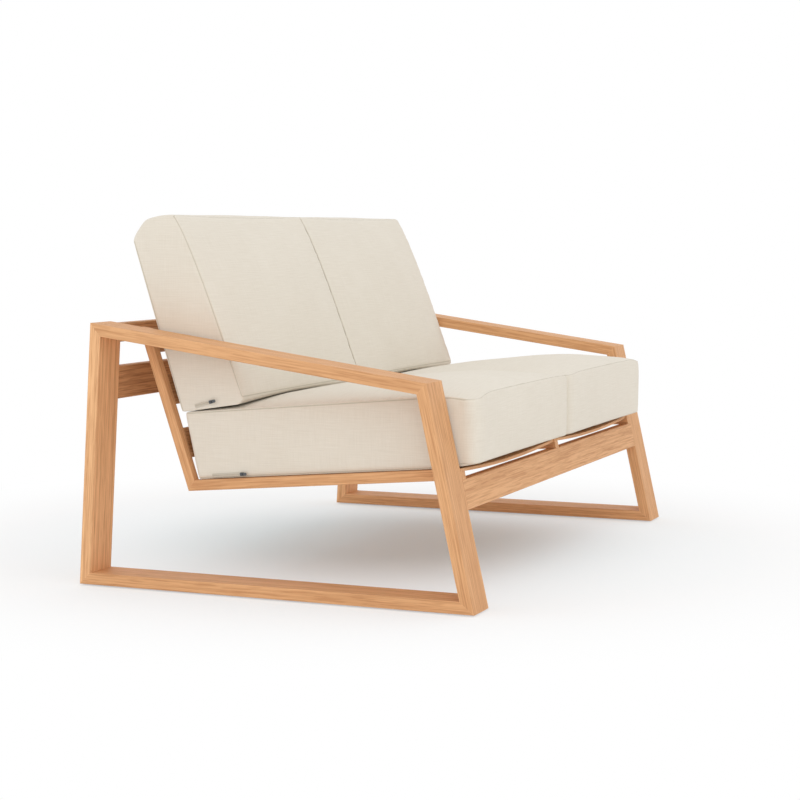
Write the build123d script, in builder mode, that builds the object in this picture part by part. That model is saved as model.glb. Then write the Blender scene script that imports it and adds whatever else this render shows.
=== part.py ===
"""A two-seat patio loveseat.

Two mitred side frames carry a stretcher and two crossbars. Three L-shaped members, each a seat
rail mitred to a back stile, hold curved slats, and four loose cushions lie on them.

Millimetres. +X is to the right seen from the front, the front faces -Y, +Z is up, and the origin
is on the floor under the middle. The side view is drawn with plain vectors whose first number is
the distance to the back and whose second number is the height.
"""

from build123d import *
from math import cos, radians, sin, sqrt
import os

# Side frames
overall_width = 1400.0
runner_length = 888.8
rear_height = 552.5
front_height = 448.6
rear_top_inset = 34.7
front_top_inset = 100.7
board_width = 85.0
board_thickness = 25.0
board_edge_round = 2.0

# Glides under the runners
glide_height = 3.0
glide_radius = 11.0
glide_end_margin = 38.0
glide_spigot_radius = 2.5
glide_spigot_length = 12.0

# Members between the side frames
stretcher_bottom_height = 193.0
lower_crossbar_height = 70.0
upper_crossbar_height = 40.0
crossbar_gap = 51.4
bar_edge_bevel = 1.2

# L-shaped members under the seat and behind the back
heel_setback = 217.0
heel_height = 198.1
seat_rise_degrees = 5.0
back_lean_degrees = 18.5
member_width = 22.0
rail_depth = 22.0
stile_depth = 20.0
stile_top_reveal = 2.0
member_edge_bevel = 1.0

# Slats
slat_thickness = 6.0
slat_dish = 8.5
slat_reveal = 0.5
slat_tenon_length = 6.0
slat_tenon_thickness = 4.0
seat_slat_count = 7
seat_slat_gap = 20.3
seat_slat_front_margin = 2.5
seat_slat_rear_margin = 20.0
back_slat_count = 2
back_slat_pitch = 118.0
top_rail_start = 285.0
top_rail_width = 50.0
top_rail_tenon_margin = 8.0
top_rail_tenon_thickness = 8.0

# Joinery
glue_gap = 0.1
mitre_tenon_width = 36.0
mitre_tenon_thickness = 8.0
mitre_tenon_reach = 11.0
heel_tenon_width = 13.0
heel_tenon_thickness = 5.0
heel_tenon_reach = 7.0
dowel_radius = 4.0
dowel_reach = 18.0
back_dowel_reach = 12.0
dowel_edge_margin = 15.0
stretcher_dowel_drop = 28.0
upper_dowel_margin = 8.0
upper_dowel_setback = 6.0
screw_length = 42.0
screw_radius = 2.0
screw_head_radius = 4.0
screw_tip_length = 3.0
screw_setback = 13.0
screw_head_angle = 90.0

# Cushions
cushion_side_gap = 0.5
cushion_end_gap = 8.5
cushion_rest_gap = 0.3
cover_wall = 2.0
foam_gap = 0.3
seam_radius = 3.0
seat_cushion_corner_radius = 30.0
seat_cushion_rear_radius = 8.0
back_cushion_corner_radius = 16.0
seat_cushion_rear = 5.0
seat_cushion_overhang = 35.2
seat_cushion_rear_band = 144.0
seat_cushion_front_band = 146.5
seat_cushion_front_flare = 12.0
seat_cushion_rear_flare = 19.5
seat_toe_lift = 4.5
seat_toe_length = 60.0
seat_crest_share = 0.81
seat_crest_height = 32.0
seat_rear_crown = 13.0
seat_front_crown = 6.0
cushion_band_bulge = 4.0
panel_bulge = 1.0
cushion_draw = 4.0
back_cushion_bottom = 144.2
back_cushion_bottom_drop = 9.5
back_cushion_bottom_depth = 149.8
back_cushion_height = 418.0
back_cushion_top_drop = 19.4
back_cushion_top_depth = 109.4
back_cushion_top_lean = 8.8
back_cushion_stand_off = 13.9
back_cushion_shoulder = 38.0
back_cushion_shoulder_bulge = 9.0
back_cushion_front_bow = 7.5
back_cushion_front_crown = 24.0
back_cushion_rear_crown = 16.2
back_cushion_bottom_draw = 0.8
crown_power = 2.2

# Zips
seat_zip_height = 8.0
back_zip_height = 6.0
zip_chain_width = 3.0
zip_chain_thickness = 1.2
zip_chain_end_margin = 34.0
zip_chain_lead = 7.0
seat_zip_park = 111.0
back_zip_park = 75.0
slider_length = 9.0
slider_width = 7.0
slider_thickness = 3.0
slider_corner_radius = 1.8
slider_clearance = 0.3
bridge_opening_length = 2.8
bridge_opening_height = 1.9
bridge_bar = 0.8
bridge_width = 2.6
tab_length = 12.0
tab_width = 6.0
tab_thickness = 1.0
tab_arm = 1.2
tab_window_length = 3.2
tab_end_radius = 2.4

os.makedirs("parts", exist_ok=True)


def save(piece, name):
    """Label a finished piece and write its file."""
    piece.part.label = name
    export_step(piece.part, f"parts/{name}.step")


def meet(point, direction, other_point, other_direction):
    """Where two lines of the side view cross."""
    turn = direction.cross(other_direction).Z
    reach = (other_point - point).cross(other_direction).Z / turn
    return point + direction * reach


def to_the_left(direction):
    """A direction turned a quarter turn to the left in the side view."""
    return Vector(-direction.Y, direction.X)


def inset_corners(corners, insets):
    """Corners of a side-view outline after each edge has moved inwards by its own inset."""
    edges = []
    for index, corner in enumerate(corners):
        direction = (corners[(index + 1) % len(corners)] - corner).normalized()
        edges.append((corner + to_the_left(direction) * insets[index], direction))
    return [meet(*edges[index - 1], *edges[index]) for index in range(len(corners))]


def cross_plane(point, face):
    """Plane across a member: its first axis is +X and its second is the face direction."""
    return Plane(origin=(0, point.X, point.Y), x_dir=(1, 0, 0), z_dir=(0, -face.Y, face.X))


def face_plane(x, point, face):
    """Plane on a member's face, looking out along the face direction."""
    return Plane(origin=(x, point.X, point.Y), x_dir=(1, 0, 0), z_dir=(0, face.X, face.Y))


def side_plane(x, point, outward, along=Vector(1, 0)):
    """Plane square to X at a point of the side view, looking out along +X or -X."""
    return Plane(origin=(x, point.X, point.Y), x_dir=(0, along.X, along.Y), z_dir=(outward, 0, 0))


def mitre_plane(x, outer, inner):
    """Plane along a mitre, with the loose tenon's thickness along the mitre line."""
    middle = (outer + inner) * 0.5
    line = (inner - outer).normalized()
    return Plane(origin=(x, middle.X, middle.Y), x_dir=(1, 0, 0), z_dir=(0, -line.Y, line.X))


# The side frame's outline, anticlockwise from the rear foot, and its inner corners
half_width = overall_width / 2
inner_face = half_width - board_width
half_length = runner_length / 2
frame_outline = [
    Vector(half_length, glide_height),
    Vector(half_length - rear_top_inset, glide_height + rear_height),
    Vector(-half_length + front_top_inset, glide_height + front_height),
    Vector(-half_length, glide_height),
]
frame_inside = inset_corners(frame_outline, [board_thickness] * len(frame_outline))
rear_foot, rear_top, front_top, front_foot = frame_outline
rear_foot_inside, rear_top_inside, front_top_inside, front_foot_inside = frame_inside
leg_up = (front_top - front_foot).normalized()
rear_leg_up = (rear_top - rear_foot).normalized()
arm_back = (rear_top - front_top).normalized()
level = Vector(1, 0)

# The L-shaped member: the heel, the seat corner over it, and the two faces that it gives
seat_angle = radians(seat_rise_degrees)
back_angle = radians(back_lean_degrees)
seat_forward = Vector(-cos(seat_angle), sin(seat_angle))
seat_up = Vector(sin(seat_angle), cos(seat_angle))
back_up = Vector(sin(back_angle), cos(back_angle))
back_forward = Vector(-cos(back_angle), sin(back_angle))
heel = Vector(half_length - heel_setback, heel_height + glide_height)
seat_corner = meet(heel + seat_up * rail_depth, seat_forward, heel + back_forward * stile_depth, back_up)
rail_front_low = meet(heel, seat_forward, front_foot, leg_up)
rail_front_high = meet(seat_corner, seat_forward, front_foot, leg_up)
rail_length = (rail_front_high - seat_corner).length

arm_top_cut = front_top - to_the_left(arm_back) * stile_top_reveal
stile_top_back = meet(heel, back_up, arm_top_cut, arm_back)
stile_top_front = meet(seat_corner, back_up, arm_top_cut, arm_back)

member_places = {"left": -inner_face, "centre": -member_width / 2, "right": inner_face - member_width}

# The seat slats fill the rails between their margins with even gaps, and the back has the same slats
slat_pitch = (
    rail_length - seat_slat_front_margin - seat_slat_rear_margin + seat_slat_gap
) / seat_slat_count
slat_width = slat_pitch - seat_slat_gap
seat_slat_centres = [
    rail_length - seat_slat_front_margin - slat_width / 2 - slat_pitch * index
    for index in range(seat_slat_count)
]
back_slat_centres = [
    top_rail_start + slat_width / 2 - (index + 1) * back_slat_pitch for index in range(back_slat_count)
]
slat_tenon_middle = slat_tenon_thickness / 2 - slat_thickness - slat_reveal
bays = {
    "left": (-inner_face + member_width, -member_width / 2),
    "right": (member_width / 2, inner_face - member_width),
}


def seat_point(distance, height=0.0):
    """A point of the side view measured forwards along the rails' top and up from it."""
    return seat_corner + seat_forward * distance + seat_up * height


def back_point(distance, height=0.0):
    """A point of the side view measured up along the stiles' front and forwards from it."""
    return seat_corner + back_up * distance + back_forward * height


# Stretcher and crossbars in the side view
stretcher_low = Vector(0, stretcher_bottom_height + glide_height)
stretcher_outline = [
    meet(stretcher_low, level, front_foot, leg_up),
    meet(stretcher_low, level, front_foot_inside, leg_up),
    meet(heel, seat_forward, front_foot_inside, leg_up),
    rail_front_low,
]
upper_crossbar_top = meet(rear_foot_inside, rear_leg_up, front_top, arm_back).Y


def crossbar_outline(low, high):
    """Section of a crossbar that lies in the plane of the rear legs."""
    return [
        meet(Vector(0, low), level, rear_foot_inside, rear_leg_up),
        meet(Vector(0, low), level, rear_foot, rear_leg_up),
        meet(Vector(0, high), level, rear_foot, rear_leg_up),
        meet(Vector(0, high), level, rear_foot_inside, rear_leg_up),
    ]


def dowel_pair(outline, low_margin, high_margin):
    """Two dowel centres in a bar's section, each with its margin from the bottom or the top."""
    low = (outline[0] + outline[1]) * 0.5
    high = (outline[2] + outline[3]) * 0.5
    step = (high - low).normalized()
    return [low + step * low_margin, high - step * high_margin]


lower_crossbar_top = upper_crossbar_top - upper_crossbar_height - crossbar_gap
bars = {
    "front_stretcher": stretcher_outline,
    "lower_crossbar": crossbar_outline(lower_crossbar_top - lower_crossbar_height, lower_crossbar_top),
    "upper_crossbar": crossbar_outline(upper_crossbar_top - upper_crossbar_height, upper_crossbar_top),
}
upper_low, upper_high = dowel_pair(bars["upper_crossbar"], upper_dowel_margin, upper_dowel_margin)
bar_dowels = {
    "front_stretcher": dowel_pair(bars["front_stretcher"], dowel_edge_margin, stretcher_dowel_drop),
    "lower_crossbar": dowel_pair(bars["lower_crossbar"], dowel_edge_margin, dowel_edge_margin),
    "upper_crossbar": [upper_low, upper_high - level * upper_dowel_setback],
}
arm_dowel = meet(
    (front_top + front_top_inside) * 0.5, arm_back, heel + back_forward * (stile_depth / 2), back_up
)
leg_dowels = {
    "front_leg": bar_dowels["front_stretcher"],
    "rear_leg": bar_dowels["lower_crossbar"] + bar_dowels["upper_crossbar"][:1],
    "arm": bar_dowels["upper_crossbar"][1:],
    "runner": [],
}
glide_places = [-half_length + glide_end_margin, half_length - glide_end_margin]

# Side frames: four mitred boards on each side, their corners joined by loose tenons
board_names = ["rear_leg", "arm", "front_leg", "runner"]
for side, outward in (("left", -1), ("right", 1)):
    board_middle = outward * (inner_face + board_width / 2)
    for start, board_name in enumerate(board_names):
        end = (start + 1) % len(board_names)
        run = frame_outline[end] - frame_outline[start]
        with BuildPart() as board:
            with BuildSketch(Plane.YZ.offset(board_middle)):
                with BuildLine():
                    Polyline(
                        frame_outline[start],
                        frame_outline[end],
                        frame_inside[end],
                        frame_inside[start],
                        close=True,
                    )
                make_face()
            extrude(amount=board_width / 2, both=True)
            fillet(board.edges().filter_by(Axis((0, 0, 0), (0, run.X, run.Y))), board_edge_round)
            for corner in (start, end):
                with BuildSketch(mitre_plane(board_middle, frame_outline[corner], frame_inside[corner])):
                    Rectangle(mitre_tenon_width + 2 * glue_gap, mitre_tenon_thickness + 2 * glue_gap)
                extrude(amount=mitre_tenon_reach + glue_gap, both=True, mode=Mode.SUBTRACT)
            for point in leg_dowels[board_name]:
                with Locations(side_plane(outward * inner_face, point, -outward)):
                    Hole(dowel_radius + glue_gap, dowel_reach + glue_gap)
            if board_name == "arm":
                with Locations(side_plane(outward * inner_face, arm_dowel, -outward)):
                    Hole(dowel_radius + glue_gap, back_dowel_reach + glue_gap)
            if board_name == "runner":
                with BuildSketch(Plane.XY.offset(glide_height)):
                    with Locations(*[(board_middle, place) for place in glide_places]):
                        Circle(glide_spigot_radius + glue_gap)
                extrude(amount=glide_spigot_length + glue_gap, mode=Mode.SUBTRACT)
        save(board, f"{side}_{board_name}")

with BuildPart() as mitre_tenons:
    for outward in (-1, 1):
        for outer, inner in zip(frame_outline, frame_inside):
            with BuildSketch(mitre_plane(outward * (inner_face + board_width / 2), outer, inner)):
                Rectangle(mitre_tenon_width, mitre_tenon_thickness)
            extrude(amount=mitre_tenon_reach, both=True)
save(mitre_tenons, "mitre_tenons")

# Glides: a nylon disc with a spigot driven up into the runner
with BuildPart() as runner_glides:
    for outward in (-1, 1):
        board_middle = outward * (inner_face + board_width / 2)
        with BuildSketch(Plane.XY):
            with Locations(*[(board_middle, place) for place in glide_places]):
                Circle(glide_radius)
        extrude(amount=glide_height)
        with BuildSketch(Plane.XY.offset(glide_height)):
            with Locations(*[(board_middle, place) for place in glide_places]):
                Circle(glide_spigot_radius)
        extrude(amount=glide_spigot_length)
save(runner_glides, "runner_glides")

# Stretcher and crossbars, with the dowels that hold their ends
screw_foot = rail_front_low - seat_forward * screw_setback
for bar_name, outline in bars.items():
    with BuildPart() as bar:
        with BuildSketch(Plane.YZ):
            with BuildLine():
                Polyline(*outline, close=True)
            make_face()
        extrude(amount=inner_face, both=True)
        chamfer(bar.edges().filter_by(Axis.X), bar_edge_bevel)
        for outward in (-1, 1):
            for point in bar_dowels[bar_name]:
                with Locations(side_plane(outward * inner_face, point, outward)):
                    Hole(dowel_radius + glue_gap, dowel_reach + glue_gap)
        if bar_name == "front_stretcher":
            for place in member_places.values():
                with Locations(face_plane(place + member_width / 2, screw_foot, seat_up)):
                    Hole(screw_radius + glue_gap, screw_length - rail_depth + glue_gap)
    save(bar, bar_name)

with BuildPart() as crossbar_dowels:
    for outward in (-1, 1):
        for points in bar_dowels.values():
            for point in points:
                with BuildSketch(side_plane(outward * inner_face, point, outward)):
                    Circle(dowel_radius)
                extrude(amount=dowel_reach, both=True)
save(crossbar_dowels, "crossbar_dowels")

# Seat rails: mitred at the heel, cut flush with the legs in front, housed for the slat ends
screw_head_point = screw_foot + seat_up * rail_depth
for side, place in member_places.items():
    faces = {"left": [1], "centre": [-1, 1], "right": [-1]}[side]
    middle = place + member_width / 2
    with BuildPart() as rail:
        with BuildSketch(Plane.YZ.offset(place)):
            with BuildLine():
                Polyline(heel, rail_front_low, rail_front_high, seat_corner, close=True)
            make_face()
        extrude(amount=member_width)
        chamfer(
            rail.edges().filter_by(Axis((0, 0, 0), (0, seat_forward.X, seat_forward.Y))), member_edge_bevel
        )
        for distance in seat_slat_centres:
            with BuildSketch(cross_plane(seat_point(distance), seat_up)):
                with Locations(
                    *[
                        (
                            middle + face * (member_width - slat_tenon_length) / 2,
                            slat_tenon_middle,
                        )
                        for face in faces
                    ]
                ):
                    Rectangle(slat_tenon_length, slat_tenon_thickness + 2 * glue_gap)
            extrude(amount=slat_width / 2 + glue_gap, both=True, mode=Mode.SUBTRACT)
        with BuildSketch(mitre_plane(middle, heel, seat_corner)):
            Rectangle(heel_tenon_width + 2 * glue_gap, heel_tenon_thickness + 2 * glue_gap)
        extrude(amount=heel_tenon_reach + glue_gap, both=True, mode=Mode.SUBTRACT)
        with Locations(face_plane(middle, screw_head_point, seat_up)):
            CounterSinkHole(
                screw_radius + glue_gap, screw_head_radius + glue_gap, counter_sink_angle=screw_head_angle
            )
    save(rail, f"{side}_seat_rail")

# Screws through the rails into the stretcher
with BuildPart() as rail_screws:
    for place in member_places.values():
        middle = place + member_width / 2
        with BuildSketch(cross_plane(screw_head_point, seat_up)):
            with BuildLine():
                Polyline(
                    (middle, 0),
                    (middle + screw_head_radius, 0),
                    (middle + screw_radius, screw_radius - screw_head_radius),
                    (middle + screw_radius, screw_tip_length - screw_length),
                    (middle, -screw_length),
                    close=True,
                )
            make_face()
        screw_top = (middle, screw_head_point.X, screw_head_point.Y)
        revolve(axis=Axis(screw_top, (0, seat_up.X, seat_up.Y)))
save(rail_screws, "rail_screws")

# Back stiles: the outer two run up inside the arms, the middle one stops under the top rail
top_rail_low_front = back_point(top_rail_start)
top_rail_low_back = back_point(top_rail_start, -stile_depth)
top_rail_middle = back_point(top_rail_start + top_rail_width / 2, -stile_depth / 2)
top_rail_tenon_width = top_rail_width - 2 * top_rail_tenon_margin
for side, place in member_places.items():
    faces = {"left": [1], "centre": [-1, 1], "right": [-1]}[side]
    middle = place + member_width / 2
    if side == "centre":
        top_back, top_front = top_rail_low_back, top_rail_low_front
    else:
        top_back, top_front = stile_top_back, stile_top_front
    with BuildPart() as stile:
        with BuildSketch(Plane.YZ.offset(place)):
            with BuildLine():
                Polyline(heel, seat_corner, top_front, top_back, close=True)
            make_face()
        extrude(amount=member_width)
        chamfer(stile.edges().filter_by(Axis((0, 0, 0), (0, back_up.X, back_up.Y))), member_edge_bevel)
        for distance in back_slat_centres:
            with BuildSketch(cross_plane(back_point(distance), back_forward)):
                with Locations(
                    *[
                        (
                            middle + face * (member_width - slat_tenon_length) / 2,
                            slat_tenon_middle,
                        )
                        for face in faces
                    ]
                ):
                    Rectangle(slat_tenon_length, slat_tenon_thickness + 2 * glue_gap)
            extrude(amount=slat_width / 2 + glue_gap, both=True, mode=Mode.SUBTRACT)
        with BuildSketch(mitre_plane(middle, heel, seat_corner)):
            Rectangle(heel_tenon_width + 2 * glue_gap, heel_tenon_thickness + 2 * glue_gap)
        extrude(amount=heel_tenon_reach + glue_gap, both=True, mode=Mode.SUBTRACT)
        if side == "centre":
            with Locations(face_plane(middle, (top_back + top_front) * 0.5, back_up)):
                Hole(dowel_radius + glue_gap, back_dowel_reach + glue_gap)
        else:
            with BuildSketch(cross_plane(top_rail_middle, back_forward)):
                with Locations((middle + faces[0] * (member_width - slat_tenon_length) / 2, 0)):
                    Rectangle(slat_tenon_length, top_rail_tenon_thickness + 2 * glue_gap)
            extrude(amount=top_rail_tenon_width / 2 + glue_gap, both=True, mode=Mode.SUBTRACT)
            with Locations(side_plane(-faces[0] * inner_face, arm_dowel, -faces[0])):
                Hole(dowel_radius + glue_gap, back_dowel_reach + glue_gap)
    save(stile, f"{side}_back_stile")

with BuildPart() as heel_tenons:
    for place in member_places.values():
        with BuildSketch(mitre_plane(place + member_width / 2, heel, seat_corner)):
            Rectangle(heel_tenon_width, heel_tenon_thickness)
        extrude(amount=heel_tenon_reach, both=True)
save(heel_tenons, "heel_tenons")

# Top rail of the back: one board across both bays, tenoned into the outer stiles
bay_reach = inner_face - member_width
with BuildPart() as back_top_rail:
    with BuildSketch(cross_plane(top_rail_middle, back_forward)):
        Rectangle(2 * bay_reach, stile_depth)
    extrude(amount=top_rail_width / 2, both=True)
    chamfer(back_top_rail.edges().filter_by(Axis.X), member_edge_bevel)
    with BuildSketch(cross_plane(top_rail_middle, back_forward)):
        Rectangle(2 * (bay_reach + slat_tenon_length - glue_gap), top_rail_tenon_thickness)
    extrude(amount=top_rail_tenon_width / 2, both=True)
    with Locations(face_plane(0, (top_rail_low_front + top_rail_low_back) * 0.5, back_up * -1)):
        Hole(dowel_radius + glue_gap, back_dowel_reach + glue_gap)
save(back_top_rail, "back_top_rail")

with BuildPart() as back_dowels:
    for outward in (-1, 1):
        with BuildSketch(side_plane(outward * inner_face, arm_dowel, outward)):
            Circle(dowel_radius)
        extrude(amount=back_dowel_reach, both=True)
    with BuildSketch(face_plane(0, (top_rail_low_front + top_rail_low_back) * 0.5, back_up)):
        Circle(dowel_radius)
    extrude(amount=back_dowel_reach, both=True)
save(back_dowels, "back_dowels")

# Slats: bent boards, dished towards the middle, with straight ends housed in the members
slat_rows = []
for index, distance in enumerate(seat_slat_centres):
    slat_rows.append((f"seat_slat_{index + 1}", cross_plane(seat_point(distance), seat_up)))
for index, distance in enumerate(back_slat_centres):
    slat_rows.append((f"back_slat_{index + 1}", cross_plane(back_point(distance), back_forward)))
for slat_name, slat_plane in slat_rows:
    for side, (left, right) in bays.items():
        middle = (left + right) / 2
        reach = slat_tenon_length - glue_gap
        top = -slat_reveal
        bottom = top - slat_thickness
        tenon_top = bottom + slat_tenon_thickness
        with BuildPart() as slat:
            with BuildSketch(slat_plane):
                with BuildLine():
                    ThreePointArc((left, top), (middle, top - slat_dish), (right, top))
                    Polyline(
                        (right, top),
                        (right, tenon_top),
                        (right + reach, tenon_top),
                        (right + reach, bottom),
                        (right, bottom),
                    )
                    ThreePointArc((right, bottom), (middle, bottom - slat_dish), (left, bottom))
                    Polyline(
                        (left, bottom),
                        (left - reach, bottom),
                        (left - reach, tenon_top),
                        (left, tenon_top),
                        (left, top),
                    )
                make_face()
            extrude(amount=slat_width / 2, both=True)
        save(slat, f"{side}_{slat_name}")


cushion_width = inner_face - cushion_side_gap - cushion_end_gap


def rise(offset, half):
    """How much of a crown is reached at an offset in from the cushion's side, from 0 to 1."""
    return 1 - (1 - offset / half) ** crown_power


def round_over(radius, offset):
    """How far a rounded edge stays inside at an offset in from the side."""
    left = max(radius - offset, 0)
    return radius - sqrt(radius**2 - left**2)


def cushion_sections(form, shrink, offset_shares):
    """Sections of a cushion square to its width, as (place across, list of curves).

    The offset shares say where the sections lie in from each side: up to 1 they are shares of the
    corner radius, and from there to 2 they cover what is left to the middle. A curve is its start,
    its middle and its end, and a flat edge has no middle.
    """
    half = cushion_width / 2
    radius = form["corner_radius"]
    sections = []
    for share in offset_shares:
        offset = share * radius if share <= 1 else radius + (share - 1) * (half - radius)
        grown = rise(offset, half)
        insets = [shrink + round_over(edge[0], offset) + edge[1] * grown for edge in form["edges"]]
        corners = inset_corners(form["corners"], insets)
        curves = []
        for index, start in enumerate(corners):
            end = corners[(index + 1) % len(corners)]
            edge_up = to_the_left((end - start).normalized()) * -1
            points = [start]
            for along, height in form["edges"][index][2]:
                points.append(start + (end - start) * along + edge_up * height * grown)
            points.append(end)
            for crown, first, second in zip(form["edges"][index][3], points, points[1:]):
                if crown is None:
                    curves.append((first, second))
                else:
                    outward = to_the_left((second - first).normalized()) * -1
                    bulge = crown * grown + form["edges"][index][4]
                    curves.append((first, (first + second) * 0.5 + outward * bulge, second))
        inside = (half - shrink) * (1 - offset / half)
        sections.append((inside, curves))
    mirrored = [(-inside, curves) for inside, curves in sections]
    return mirrored + sections[-2::-1]


seat_cushion_front = rail_length + seat_cushion_overhang

# Each edge is its rounding at the sides, how far it is drawn in, its crests, its crowns and its
# bow at the sides
seat_form = {
    "corner_radius": seat_cushion_corner_radius,
    "corners": [
        seat_point(seat_cushion_rear, cushion_rest_gap),
        seat_point(
            seat_cushion_rear - seat_cushion_rear_flare, cushion_rest_gap + seat_cushion_rear_band
        ),
        seat_point(
            seat_cushion_front + seat_cushion_front_flare,
            cushion_rest_gap + seat_cushion_front_band,
        ),
        seat_point(seat_cushion_front, cushion_rest_gap + seat_toe_lift),
        seat_point(seat_cushion_front - seat_toe_length, cushion_rest_gap),
    ],
    "edges": [
        (seat_cushion_rear_radius, cushion_draw, [], [cushion_band_bulge], panel_bulge),
        (
            seam_radius,
            0,
            [(seat_crest_share, seat_crest_height)],
            [seat_rear_crown, seat_front_crown],
            panel_bulge,
        ),
        (seat_cushion_corner_radius, cushion_draw, [], [cushion_band_bulge], panel_bulge),
        (seam_radius, 0, [], [None], 0),
        (seam_radius, 0, [], [None], 0),
    ],
}
back_rear_bottom = back_point(back_cushion_bottom, back_cushion_stand_off)
back_front_bottom = back_point(
    back_cushion_bottom - back_cushion_bottom_drop, back_cushion_stand_off + back_cushion_bottom_depth
)
back_rear_top = back_point(
    back_cushion_bottom + back_cushion_height, back_cushion_stand_off + back_cushion_top_lean
)
back_front_top = back_point(
    back_cushion_bottom + back_cushion_height - back_cushion_top_drop,
    back_cushion_stand_off + back_cushion_top_lean + back_cushion_top_depth,
)
shoulder_low = back_rear_top + (back_rear_bottom - back_rear_top).normalized() * back_cushion_shoulder
shoulder_high = back_rear_top + (back_front_top - back_rear_top).normalized() * back_cushion_shoulder
back_form = {
    "corner_radius": back_cushion_corner_radius,
    "corners": [back_rear_bottom, shoulder_low, shoulder_high, back_front_top, back_front_bottom],
    "edges": [
        (seam_radius, 0, [], [back_cushion_rear_crown], panel_bulge),
        (back_cushion_corner_radius, cushion_draw, [], [back_cushion_shoulder_bulge], panel_bulge),
        (back_cushion_corner_radius, cushion_draw, [], [cushion_band_bulge], panel_bulge),
        (seam_radius, 0, [], [back_cushion_front_crown], back_cushion_front_bow),
        (seam_radius, back_cushion_bottom_draw, [], [None], 0),
    ],
}
cover_shares = [0, 0.3, 1, 1.4, 2]
core_shares = [0, 1, 2]

# Where each zip runs on the cushion's outer side: a point where the slider parks, and a direction
back_zip_run = (back_front_bottom - back_rear_bottom).normalized()
back_zip_up = to_the_left(back_zip_run) * -1
zips = {
    "seat": (seat_point(seat_zip_park, seat_zip_height), seat_forward),
    "back": (
        back_rear_bottom + back_zip_run * back_zip_park + back_zip_up * back_zip_height,
        back_zip_run,
    ),
}
forms = {"seat": seat_form, "back": back_form}
parks = {"seat": seat_zip_park - seat_cushion_rear, "back": back_zip_park}
slider_base = slider_clearance
slider_top = slider_base + slider_thickness
bar_height = slider_top + bridge_opening_height / 2

for side, outward in (("left", -1), ("right", 1)):
    cushion_middle = outward * (cushion_side_gap + cushion_width / 2)
    outer_side = cushion_middle + outward * cushion_width / 2
    for kind, form in forms.items():
        park, run = zips[kind]
        chain_rear = zip_chain_end_margin - parks[kind]
        chain_middle = (chain_rear + zip_chain_lead) / 2
        side_view = side_plane(outer_side, park, outward, run)

        # The cover: a sewn shell, with the zip's teeth along the lower seam of its outer side
        with BuildPart() as cover:
            for across, curves in cushion_sections(form, 0, cover_shares):
                with BuildSketch(Plane.YZ.offset(cushion_middle + across)):
                    with BuildLine():
                        for curve in curves:
                            if len(curve) == 2:
                                Line(*curve)
                            else:
                                ThreePointArc(*curve)
                    make_face()
            loft(ruled=True)
            for across, curves in cushion_sections(form, cover_wall, core_shares):
                with BuildSketch(Plane.YZ.offset(cushion_middle + across)):
                    with BuildLine():
                        for curve in curves:
                            if len(curve) == 2:
                                Line(*curve)
                            else:
                                ThreePointArc(*curve)
                    make_face()
            loft(ruled=True, mode=Mode.SUBTRACT)
            with BuildSketch(side_view):
                with Locations((chain_middle, 0)):
                    Rectangle(zip_chain_lead - chain_rear, zip_chain_width)
            extrude(amount=zip_chain_thickness)
        save(cover, f"{side}_{kind}_cover")

        # The foam core that fills the cover
        with BuildPart() as foam:
            for across, curves in cushion_sections(form, cover_wall + foam_gap, core_shares):
                with BuildSketch(Plane.YZ.offset(cushion_middle + across)):
                    with BuildLine():
                        for curve in curves:
                            if len(curve) == 2:
                                Line(*curve)
                            else:
                                ThreePointArc(*curve)
                    make_face()
            loft(ruled=True)
        save(foam, f"{side}_{kind}_foam")

        # The slider: a body that rides on the teeth, with a bridge that holds the tab
        with BuildPart() as slider:
            with BuildSketch(side_view.offset(slider_base)):
                RectangleRounded(slider_length, slider_width, slider_corner_radius)
            extrude(amount=slider_thickness)
            with BuildSketch(side_view.offset(slider_base)):
                Rectangle(slider_length, zip_chain_width + 2 * slider_clearance)
            extrude(amount=zip_chain_thickness, mode=Mode.SUBTRACT)
            with BuildSketch(side_view.offset(slider_top)):
                Rectangle(bridge_opening_length + 2 * bridge_bar, bridge_width)
            extrude(amount=bridge_opening_height + bridge_bar)
            with BuildSketch(side_view.offset(slider_top)):
                Rectangle(bridge_opening_length, bridge_width)
            extrude(amount=bridge_opening_height, mode=Mode.SUBTRACT)
        save(slider, f"{side}_{kind}_zip_slider")

        # The tab: a plate with a window, whose end bar turns under the bridge
        tab_middle = tab_length / 2 - tab_thickness / 2
        window_middle = tab_thickness / 2 + tab_window_length / 2
        with BuildPart() as tab:
            with BuildSketch(side_view.offset(bar_height - tab_thickness / 2)) as tab_face:
                with Locations((tab_middle, 0)):
                    Rectangle(tab_length, tab_width)
                fillet(tab_face.vertices().group_by(Axis.X)[-1], tab_end_radius)
                with Locations((window_middle, 0)):
                    Rectangle(tab_window_length, tab_width - 2 * tab_arm, mode=Mode.SUBTRACT)
            extrude(amount=tab_thickness)
        save(tab, f"{side}_{kind}_zip_tab")
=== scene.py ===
# %% [markdown]
# # A slatted patio loveseat, dressed for its picture
# The wooden frame, the slats, the screws and the little zip pulls come from a CAD model that is
# loaded as a fixed frame. This lesson gives them their wood, cloth and metal, sews four real
# cushions over the plain foam blocks, lays the zip teeth, and sets up the floor, light and camera.

import math

import bmesh
import bpy
import numpy as np
from mathutils import Matrix, Vector, noise
from mathutils.kdtree import KDTree


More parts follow.
